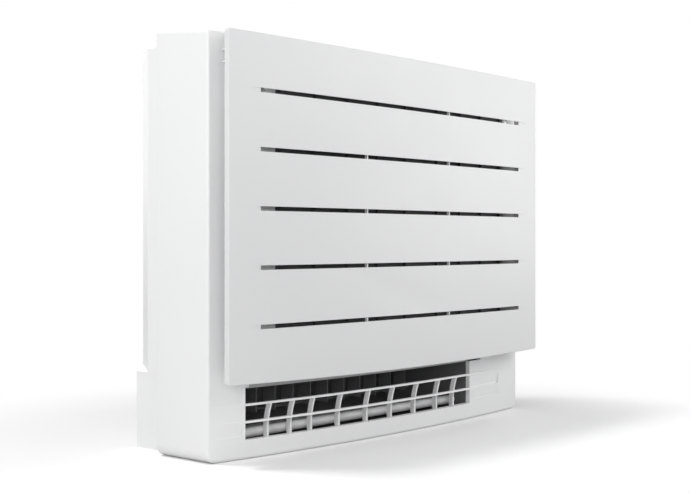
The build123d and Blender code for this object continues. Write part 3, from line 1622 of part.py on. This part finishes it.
# refrigerant pipes from the coil's right end down to their flare unions
pipe_rows = (tube_z[-1], tube_z[0])
pipe_names = ("gas", "liquid")
for name, top, reach, radius, end_z in zip(pipe_names, pipe_rows, pipe_reach, pipe_radius, pipe_end_z):
    x = plate_right_x + reach
    start_x = coil_right - tube_seat
    bend = 3 * radius
    with BuildPart() as pipe:
        with BuildLine():
            corner = bend * (1 - sin(radians(45)))
            Line((start_x, tube_y, top), (x - bend, tube_y, top))
            ThreePointArc(
                (x - bend, tube_y, top),
                (x - corner, tube_y, top - corner),
                (x, tube_y, top - bend),
            )
            Line((x, tube_y, top - bend), (x, tube_y, end_z))
        with BuildSketch(Plane(origin=(start_x, tube_y, top), z_dir=(1, 0, 0))):
            Circle(min(radius, tube_radius))
        sweep()
    save(pipe.part, f"{name}_pipe")

with BuildPart() as flare_nuts:
    for reach, radius, end_z, size in zip(pipe_reach, pipe_radius, pipe_end_z, nut_size):
        with BuildSketch(Plane.XY.offset(end_z)):
            with Locations((plate_right_x + reach, tube_y)):
                RegularPolygon(size, 6)
                Circle(min(radius, tube_radius) + shaft_gap, mode=Mode.SUBTRACT)
        extrude(amount=size * nut_share)
save(flare_nuts.part, "flare_nuts")

# ---------------------------------------------------------------- electrical box
box_right = box_left + box_width
box_back_y = bell_y - fit_gap
box_top = box_bottom + box_height
box_x = box_left + box_width / 2
with BuildPart() as electrical_box:
    add(block(box_left, box_right, box_front_y, box_back_y, box_bottom, box_top))
    x0, x1 = box_left + wall, box_right - wall
    z0, z1 = box_bottom + wall, box_top - wall
    add(block(x0, x1, box_front_y - 1, box_back_y - wall, z0, z1), mode=Mode.SUBTRACT)
    # posts that carry the board
    for x in (box_left + post_inset[0], box_right - post_inset[0]):
        for z in (box_bottom + post_inset[1], box_top - post_inset[1]):
            add(rod(x, box_back_y - wall / 2, z, post_inset[0] / 2, post_height, (0, -1, 0)))
save(electrical_box.part, "electrical_box")

board_y = box_back_y - wall / 2 - post_height - board_thickness
with BuildPart() as control_board:
    x0, x1 = box_left + wall + board_gap, box_right - wall - board_gap
    z0, z1 = box_bottom + wall + 2 * board_gap, box_top - wall - 2 * board_gap
    add(block(x0, x1, board_y, board_y + board_thickness, z0, z1))
    # capacitors, relay, connectors and power parts
    for x, z, radius, tall in board_cans:
        add(rod(box_x + x, board_y + 0.5, box_bottom + z, radius, tall + 0.5, (0, -1, 0)))
    for x, z, w, h, tall in board_blocks:
        x0 = box_x + x - w / 2
        z0 = box_bottom + z - h / 2
        add(block(x0, x0 + w, board_y - tall, board_y + 0.5, z0, z0 + h))
save(control_board.part, "control_board")

with BuildPart() as box_cover:
    y1 = box_front_y - fit_gap
    add(block(box_left, box_right, y1 - cover_thickness, y1, box_bottom + cover_rise, box_top))
    with BuildSketch(Plane.XZ.offset(-y1)):
        with Locations((box_x, box_top - vent_drop)):
            with GridLocations(0, vent_pitch, 1, vent_count):
                SlotOverall(vent_size[0], vent_size[1])
    extrude(amount=cover_thickness, mode=Mode.SUBTRACT)
save(box_cover.part, "box_cover")

with BuildPart() as terminal_block:
    x0 = box_x - terminal[0] / 2
    z0 = box_bottom + wall + 8.0
    y1 = board_y - fit_gap
    add(block(x0, x0 + terminal[0], y1 - terminal[1], y1, z0, z0 + terminal[2]))
    # three bays, one for each pair of screws
    for i in range(terminal_bays):
        bay = x0 + 4.0 + terminal_pitch * i
        well = block(bay, bay + 10.0, y1 - terminal[1] - 1.0, y1 - 5.0, z0 + 3.0, z0 + terminal[2] - 3.0)
        add(well, mode=Mode.SUBTRACT)
save(terminal_block.part, "terminal_block")

# ---------------------------------------------------------------- switch and sensors
board_front_y = casing_corner_y + switch_setback
button_back_y = board_front_y - 3.0
with BuildPart() as switch_board:
    x0 = switch_x - switch_size[0] / 2
    z0 = switch_z - switch_size[1] / 2
    x1, z1 = x0 + switch_size[0], z0 + switch_size[1]
    add(block(x0, x1, board_front_y, board_front_y + board_thickness, z0, z1))
    y0 = button_back_y + switch_travel + fit_gap
    add(block(switch_x - 3.0, switch_x + 3.0, y0, board_front_y + 0.5, switch_z - 3.0, switch_z + 3.0))
save(switch_board.part, "switch_board")
with BuildPart() as switch_button:
    y0 = casing_y(switch_x) - 1.8
    half = button_size / 2
    add(block(switch_x - half, switch_x + half, y0, button_back_y, switch_z - half, switch_z + half))
    fillet(switch_button.faces().sort_by(Axis.Y)[0].edges(), 0.8)
save(switch_button.part, "switch_button")

# sensors: one clipped to the coil's end plate, one behind the panel edge on the end flange
with BuildPart() as coil_sensor:
    z = tube_z[4] + tube_pitch / 2
    add(rod(plate_right_x + end_plate + fit_gap, coil_front_y + 6.0, z, 3.0, 22.0, (1, 0, 0)))
save(coil_sensor.part, "coil_sensor")
with BuildPart() as room_sensor:
    x = plate_right_x + end_flange - 8.0
    y1 = flange_y - fit_gap
    z0 = coil_bottom + 60.0
    add(block(x - 4.0, x + 4.0, y1 - 5.0, y1, z0, z0 + 14.0))
    add(rod(x, y1 - 2.5, z0 + 13.0, 1.8, 8.0, (0, 0, 1)))
save(room_sensor.part, "room_sensor")
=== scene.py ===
"""Looks of the floor standing air conditioner: materials, floor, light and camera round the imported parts."""

from math import pi

import bpy
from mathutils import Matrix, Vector


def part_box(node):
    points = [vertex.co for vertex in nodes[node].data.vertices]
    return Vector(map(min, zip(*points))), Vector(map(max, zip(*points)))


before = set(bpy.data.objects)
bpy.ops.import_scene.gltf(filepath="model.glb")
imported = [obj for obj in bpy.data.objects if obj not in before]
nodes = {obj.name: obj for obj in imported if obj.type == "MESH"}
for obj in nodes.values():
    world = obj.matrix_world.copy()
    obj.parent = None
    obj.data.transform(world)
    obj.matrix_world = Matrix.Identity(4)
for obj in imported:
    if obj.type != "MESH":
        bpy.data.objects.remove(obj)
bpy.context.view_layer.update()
scene = bpy.context.scene
dressed = set()  # the nodes that have got their finish


# ---------------------------------------------------------------- shader nodes
def opaque(colour):
    return (*colour, 1.0)


def grey(level):
    return opaque((level, level, level))


class Shading:
    """The node tree of a material or a world, emptied or with the nodes that it comes with."""

    def __init__(self, owner, emptied=True):
        owner.use_nodes = True
        self.tree = owner.node_tree
        if emptied:
            self.tree.nodes.clear()

    def node(self, kind, inputs=None, **settings):
        """A new node; inputs gives its sockets, by name or place, a constant or another node's output."""
        made = self.tree.nodes.new(kind)
        for key, value in settings.items():
            setattr(made, key, value)
        for key, value in (inputs or {}).items():
            self.feed(made.inputs[key], value)
        return made

    def feed(self, socket, value):
        if isinstance(value, bpy.types.NodeSocket):
            self.tree.links.new(value, socket)
        else:
            socket.default_value = value

    def maths(self, operation, first, second):
        return self.node("ShaderNodeMath", {0: first, 1: second}, operation=operation).outputs["Value"]

    def blended(self, factor, first, second):
        """The first shader where the factor is zero, and the second where it is one."""
        return self.node("ShaderNodeMixShader", {"Fac": factor, 1: first, 2: second}).outputs["Shader"]


class Finish(Shading):
    """A material: a principled shader with layers of procedural detail on it."""

    soft_edge = 0.0005  # width in metres of the edge of a patch
    wave_period = pi / 10  # how often the wave texture repeats in its scaled coordinate
    mix_sockets = 6, 7, 2  # a mix node's first colour, second colour and result, by place

    def __init__(self, name, colour, roughness, metallic=0.0):
        self.material = bpy.data.materials.new(name)
        self.material.diffuse_color = opaque(colour)
        super().__init__(self.material, emptied=False)
        self.shader = next(n for n in self.tree.nodes if n.type == "BSDF_PRINCIPLED")
        self.shader.inputs["Base Color"].default_value = opaque(colour)
        self.shader.inputs["Roughness"].default_value = roughness
        self.shader.inputs["Metallic"].default_value = metallic
        self.paint = opaque(colour)
        self.place = self.node("ShaderNodeTexCoord").outputs["Object"]

    def stretched(self, stretch):
        """Object coordinates scaled along each axis."""
        return self.node("ShaderNodeMapping", {"Vector": self.place, "Scale": stretch}).outputs["Vector"]

    def noise(self, scale, detail=2.0, stretch=(1, 1, 1)):
        inputs = {"Vector": self.stretched(stretch), "Scale": scale, "Detail": detail}
        return self.node("ShaderNodeTexNoise", inputs).outputs["Fac"]

    def cells(self, scale, output="Distance", feature="F1", stretch=(1, 1, 1)):
        inputs = {"Vector": self.stretched(stretch), "Scale": scale}
        return self.node("ShaderNodeTexVoronoi", inputs, feature=feature).outputs[output]

    def lines(self, pitch, direction, profile="SIN"):
        """Evenly spaced lines; pitch is the distance between them in metres."""
        inputs = {"Vector": self.place, "Scale": self.wave_period / pitch}
        form = {"wave_type": "BANDS", "bands_direction": direction, "wave_profile": profile}
        return self.node("ShaderNodeTexWave", inputs, **form).outputs["Fac"]

    def along(self, axis):
        return self.node("ShaderNodeSeparateXYZ", {"Vector": self.place}).outputs[axis]

    def rise(self, source, start, end, low=0.0, high=1.0):
        """Low until the source reaches start, high once it reaches end, and even between."""
        inputs = {"Value": source, "From Min": start, "From Max": end, "To Min": low, "To Max": high}
        return self.node("ShaderNodeMapRange", inputs).outputs["Result"]

    def fall(self, source, start, end):
        """One until the source reaches start, and zero once it reaches end."""
        return self.rise(source, start, end, low=1.0, high=0.0)

    def patch(self, across, upward):
        """One inside a box of X and Z in metres, zero outside it, with a soft edge."""
        inside = 1.0
        for axis, (low, high) in (("X", across), ("Z", upward)):
            place = self.along(axis)
            past_low = self.rise(place, low, low + self.soft_edge)
            before_high = self.fall(place, high - self.soft_edge, high)
            inside = self.maths("MULTIPLY", inside, self.maths("MULTIPLY", past_low, before_high))
        return inside

    def colour_by(self, factor, second):
        """Shades the base colour, as it is so far, towards a second colour by a factor."""
        first_socket, second_socket, result_socket = self.mix_sockets
        inputs = {"Factor": factor, first_socket: self.paint, second_socket: opaque(second)}
        self.paint = self.node("ShaderNodeMix", inputs, data_type="RGBA").outputs[result_socket]
        self.feed(self.shader.inputs["Base Color"], self.paint)

    def rough_by(self, factor, low, high, start=0.3, end=0.7):
        self.feed(self.shader.inputs["Roughness"], self.rise(factor, start, end, low, high))

    def bump(self, height, strength, distance):
        inputs = {"Height": height, "Strength": strength, "Distance": distance}
        self.feed(self.shader.inputs["Normal"], self.node("ShaderNodeBump", inputs).outputs["Normal"])

    def on(self, *names):
        for name in names:
            materials = nodes[name].data.materials
            materials.clear()
            materials.append(self.material)
        dressed.update(names)


def moulded(name, colour, second, roughness, grain=0.12):
    """Injection moulded plastic: faint flow shading, spark-eroded grain, slightly uneven sheen."""
    finish = Finish(name, colour, roughness)
    flow = finish.noise(scale=3.0, stretch=(1.0, 1.0, 1.6))
    finish.colour_by(finish.rise(flow, 0.3, 0.7), second)
    finish.rough_by(finish.noise(scale=14.0, detail=1.0), roughness - 0.02, roughness + 0.03)
    finish.bump(finish.noise(scale=2600.0), strength=grain, distance=0.00012)
    return finish


def metal(name, colour, second, roughness, stretch=(1, 1, 1)):
    """Drawn or rolled metal: tarnish in soft patches and fine lines along the working direction."""
    finish = Finish(name, colour, roughness, metallic=1.0)
    tarnish = finish.noise(scale=45.0, detail=4.0)
    finish.colour_by(finish.rise(tarnish, 0.4, 0.75), second)
    wear = finish.noise(scale=160.0, detail=3.0, stretch=stretch)
    finish.rough_by(wear, roughness - 0.07, roughness + 0.12)
    finish.bump(finish.noise(scale=900.0, stretch=stretch), strength=0.12, distance=0.00008)
    return finish


# ---------------------------------------------------------------- white mouldings
shell_colours = (0.89, 0.892, 0.896), (0.875, 0.878, 0.884)
# the filter frames' own black, and also the painted shade on the casing right of the filter windows
filter_black_and_painted_shade = (0.048, 0.048, 0.051)


def casing_white():
    """The shell's white, with painted shade right of the filter windows: a dark patch, which keeps the four
    lower slots dark at their ends.
    """
    casing = moulded("casing_white", *shell_colours, roughness=0.36)
    right_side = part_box("front_casing")[1].x
    window_gap, side_wall = 0.0615, 0.006
    across = (right_side - window_gap, right_side - side_wall)
    window_foot, between_upper_slots = 0.150, 0.470
    # painted shade: a dark patch on the casing right of the filter windows, from the window foot up to between
    # the upper slots
    casing.colour_by(casing.patch(across, (window_foot, between_upper_slots)), filter_black_and_painted_shade)
    return casing


casing_white().on("front_casing")
moulded("shell_white", *shell_colours, roughness=0.36).on(
    "panel_stopper_left", "panel_stopper_right", "switch_button", "upper_flap"
)
# painted shade: the panel's white is a darker copy of the shell's white
moulded("panel_white", (0.765, 0.767, 0.773), (0.752, 0.755, 0.762), roughness=0.36, grain=0.07).on(
    "front_panel"
)
moulded("panel_frame_white", (0.80, 0.80, 0.805), (0.77, 0.77, 0.775), roughness=0.42).on("panel_frame")
moulded("rear_white", (0.92, 0.922, 0.925), (0.905, 0.908, 0.912), roughness=0.38).on("rear_casing")
# painted light: the grille and damper are a paler copy of the shell's white, brightening them deep in the
# outlet
moulded("outlet_white", (0.935, 0.937, 0.94), (0.92, 0.922, 0.926), roughness=0.33, grain=0.06).on(
    "outlet_grille", "lower_damper"
)


def fan_white():
    """Greyer white, with specks of dust."""
    fan = moulded("fan_white", (0.62, 0.625, 0.63), (0.56, 0.565, 0.57), roughness=0.42, grain=0.1)
    specks = fan.noise(scale=420.0, detail=3.0)
    fan.colour_by(fan.rise(specks, 0.62, 0.72, high=0.5), (0.42, 0.42, 0.43))
    return fan


fan_white().on("turbo_fan")


# ---------------------------------------------------------------- grey and black mouldings
def duct_grey():
    """Dark grey, with painted light on the flange above the mouth: it is painted pale, where light reaches it.
    """
    duct = moulded("duct_grey", (0.16, 0.161, 0.165), (0.13, 0.131, 0.135), roughness=0.55, grain=0.25)
    dark_to, pale_from = 0.0970, 0.0974  # heights over the floor
    # painted light: pale grey above the mouth's top, dark grey below it
    duct.colour_by(duct.rise(duct.along("Z"), dark_to, pale_from), (0.42, 0.42, 0.425))
    return duct


duct_grey().on("lower_duct")
louvres = [f"louvre_{number}" for number in range(1, 11)]
moulded("vane_grey", (0.22, 0.221, 0.226), (0.19, 0.191, 0.196), roughness=0.34, grain=0.15).on(
    "inner_vane_row", "louvre_link", *louvres
)
moulded("inner_grey", (0.10, 0.101, 0.105), (0.085, 0.086, 0.09), roughness=0.5, grain=0.3).on(
    "upper_duct", "louvre_base", "bell_mouth", "fan_housing", "drain_pan"
)
moulded("frame_black", filter_black_and_painted_shade, (0.038, 0.038, 0.041), roughness=0.45, grain=0.2).on(
    "filter_frame_left", "filter_frame_right"
)
moulded("part_black", (0.022, 0.022, 0.023), (0.03, 0.03, 0.031), roughness=0.4, grain=0.2).on(
    "terminal_block", "coil_sensor", "room_sensor"
)


def rubber():
    """Black rubber with a fine bloom."""
    bush = Finish("rubber", (0.025, 0.025, 0.025), roughness=0.75)
    bloom = bush.noise(scale=220.0, detail=4.0)
    bush.colour_by(bush.rise(bloom, 0.4, 0.7), (0.045, 0.044, 0.043))
    bush.bump(bush.noise(scale=1500.0, detail=3.0), strength=0.3, distance=0.0002)
    return bush


rubber().on("motor_bushes")


# ---------------------------------------------------------------- filters
def filter_net():
    """A black net, whose paler threads are woven in the material alone."""
    net = Finish("filter_net", (0.034, 0.034, 0.037), roughness=0.5)
    thread_pitch = 0.0016
    warp, weft = (net.rise(net.lines(thread_pitch, axis), 0.55, 0.8) for axis in "XZ")
    thread = net.maths("MAXIMUM", warp, weft)
    net.colour_by(thread, (0.125, 0.126, 0.13))
    net.bump(thread, strength=0.6, distance=0.0003)
    return net


def deodorising_media():
    """Dark board with a comb of cells, drawn out through its depth."""
    media = Finish("deodorising_media", (0.05, 0.047, 0.043), roughness=0.85)
    comb = media.cells(scale=330.0, feature="DISTANCE_TO_EDGE", stretch=(1.0, 0.01, 1.0))
    media.colour_by(media.fall(comb, 0.02, 0.14), (0.16, 0.15, 0.14))
    media.bump(media.fall(comb, 0.02, 0.2), strength=0.8, distance=0.0006)
    return media


filter_net().on("filter_net_left", "filter_net_right")
deodorising_media().on("deodoriser_left", "deodoriser_right")


# ---------------------------------------------------------------- metals
def coil_fin_aluminium():
    """Thin fins side by side, with painted shade in the gaps between them, dull in patches."""
    fins = Finish("coil_fin_aluminium", (0.62, 0.68, 0.74), roughness=0.34, metallic=1.0)
    fin_pitch = 0.0014
    fin = fins.lines(fin_pitch, "X")
    # painted shade: dark lines in the gaps between the fins
    fins.colour_by(fins.fall(fin, 0.1, 0.6), (0.16, 0.18, 0.20))
    dull = fins.noise(scale=30.0, detail=4.0)
    fins.colour_by(fins.rise(dull, 0.45, 0.75, high=0.35), (0.48, 0.50, 0.50))
    fins.bump(fin, strength=0.7, distance=0.0004)
    return fins


def zinc_steel():
    """Galvanised sheet with its spangle."""
    zinc = Finish("zinc_steel", (0.60, 0.61, 0.62), roughness=0.38, metallic=1.0)
    spangle = zinc.cells(scale=130.0, output="Color")
    zinc.colour_by(zinc.rise(spangle, 0.1, 0.9), (0.46, 0.47, 0.49))
    zinc.rough_by(spangle, 0.3, 0.5, start=0.0, end=1.0)
    zinc.bump(zinc.noise(scale=500.0), strength=0.08, distance=0.0001)
    return zinc


coil_fin_aluminium().on("coil_fins")
zinc_steel().on(
    "coil_end_plate_left",
    "coil_end_plate_right",
    "mounting_plate",
    "electrical_box",
    "box_cover",
    "fan_motor",
    "flap_motor",
    "damper_motor",
)
metal("copper", (0.80, 0.42, 0.28), (0.48, 0.25, 0.17), roughness=0.26).on(
    "coil_tubes", "gas_pipe", "liquid_pipe"
)
metal("brass", (0.78, 0.60, 0.30), (0.62, 0.46, 0.22), roughness=0.28).on("flare_nuts")
metal("screw_steel", (0.66, 0.65, 0.62), (0.50, 0.49, 0.47), roughness=0.30).on(
    "casing_screws", "motor_screws", "fan_nut"
)
turned = (1.0, 14.0, 1.0)
metal("shaft_steel", (0.62, 0.62, 0.63), (0.52, 0.52, 0.53), roughness=0.22, stretch=turned).on("motor_shaft")


# ---------------------------------------------------------------- circuit boards
def circuit_board():
    """Green board with short paler tracks."""
    board = Finish("circuit_board", (0.02, 0.16, 0.075), roughness=0.3)
    track_pitch = 0.0042
    stripes = board.rise(board.lines(track_pitch, "X", "TRI"), 0.62, 0.68)
    stretches = board.rise(board.cells(scale=90.0, output="Color"), 0.5, 0.52)
    tracks = board.maths("MULTIPLY", stripes, stretches)
    board.colour_by(tracks, (0.05, 0.27, 0.12))
    board.bump(tracks, strength=0.2, distance=0.0001)
    return board


circuit_board().on("control_board", "switch_board")

undressed = sorted(set(nodes) - dressed)
if undressed:
    raise SystemExit(f"pieces without a finish: {undressed}")


# ---------------------------------------------------------------- floor and background
floor_half = 8.0
fade_centre = (-0.06, -0.08, 0.0)
fade_start, fade_end = 0.36, 0.85
lighting_tone = 0.71  # of the paper that throws light back at the object
seen_tones = 0.90, 0.12  # of the two layers of paper that the camera sees
ambient = 0.18


def added(name, data):
    made = bpy.data.objects.new(name, data)
    scene.collection.objects.link(made)
    return made


def studio_paper():
    """Matt paper that, where the camera sees it, fades into the white background away from the object."""
    paper = bpy.data.materials.new("studio_paper")
    shading = Shading(paper)

    def matt(level):
        return shading.node("ShaderNodeBsdfDiffuse", {"Color": grey(level)}).outputs["BSDF"]

    # two layers reflect more than one can, which lifts the open floor to white and leaves the shadow grey
    layers = dict(enumerate(map(matt, seen_tones)))
    near = shading.node("ShaderNodeAddShader", layers).outputs["Shader"]
    far = shading.node("ShaderNodeEmission", {"Color": grey(1.0), "Strength": 1.0}).outputs["Emission"]
    place = shading.node("ShaderNodeTexCoord").outputs["Object"]
    reach = shading.node("ShaderNodeVectorMath", {0: place, 1: fade_centre}, operation="DISTANCE")
    inputs = {"Value": reach.outputs["Value"], "From Min": fade_start, "From Max": fade_end}
    fade = shading.node("ShaderNodeMapRange", inputs, interpolation_type="SMOOTHSTEP").outputs["Result"]
    camera_ray = shading.node("ShaderNodeLightPath").outputs["Is Camera Ray"]
    surface = shading.blended(camera_ray, matt(lighting_tone), shading.blended(fade, near, far))
    shading.node("ShaderNodeOutputMaterial", {"Surface": surface})
    return paper


def studio_floor():
    mesh = bpy.data.meshes.new("studio_floor")
    corners = [(x * floor_half, y * floor_half, 0.0) for x, y in ((-1, -1), (1, -1), (1, 1), (-1, 1))]
    mesh.from_pydata(corners, [], [(0, 1, 2, 3)])
    mesh.materials.append(studio_paper())
    return added("studio_floor", mesh)


def studio_air():
    """White where the camera looks, in mirrors and through glass too, and a weak light to all the rest."""
    air = bpy.data.worlds.new("studio_air")
    shading = Shading(air)

    def white(strength):
        inputs = {"Color": grey(1.0), "Strength": strength}
        return shading.node("ShaderNodeBackground", inputs).outputs["Background"]

    path = shading.node("ShaderNodeLightPath").outputs
    looked_at = path["Is Camera Ray"]
    for ray in ("Is Glossy Ray", "Is Transmission Ray"):
        looked_at = shading.maths("MAXIMUM", looked_at, path[ray])
    surface = shading.blended(looked_at, white(ambient), white(1.0))
    shading.node("ShaderNodeOutputWorld", {"Surface": surface})
    return air


studio_floor()
scene.world = studio_air()


# ---------------------------------------------------------------- light
def aim(made, place, direction):
    made.location = place
    made.rotation_euler = direction.to_track_quat("-Z", "Y").to_euler()


def softbox(name, place, target, size, power):
    """A lamp of size width by height, in metres, that shines on a target."""
    light = bpy.data.lights.new(name, "AREA")
    light.shape = "RECTANGLE"
    light.size, light.size_y = size
    light.energy = power
    aim(added(name, light), place, Vector(target) - Vector(place))


softbox("front_left_low", (-1.9, -2.1, 0.7), target=(-0.1, -0.1, 0.35), size=(1.5, 0.7), power=14.8)
softbox("left", (-2.2, -0.6, 1.35), target=(-0.3, 0.0, 0.45), size=(1.2, 1.2), power=22.0)
softbox("right_top", (1.0, -1.4, 1.2), target=(0.2, -0.1, 0.4), size=(0.9, 0.9), power=9.5)
softbox("right_near", (1.4, -1.0, 0.6), target=(0.25, -0.1, 0.25), size=(0.8, 0.8), power=5.0)
softbox("top_back", (-1.05, 1.05, 4.0), target=(0.0, 0.0, 0.1), size=(0.7, 0.7), power=68.0)
softbox("back", (-0.4, 2.4, 0.9), target=(0.0, 0.0, 0.3), size=(1.4, 1.0), power=4.5)

# ---------------------------------------------------------------- camera
# fitted to the photo by the casing's straight edges, the panel's corners and the five slots
camera_place = Vector((-1.4633, -1.2792, 0.3037))
camera_look = Vector((0.7486, 0.6630, 0.0))
camera = bpy.data.cameras.new("camera")
camera.sensor_width = 36.0
camera.lens = 62.49
camera.shift_y = -0.0086
camera.clip_start = 0.01
camera.clip_end = 60.0
scene.camera = added("camera", camera)
aim(scene.camera, camera_place, camera_look)
scene.view_settings.view_transform = "Standard"
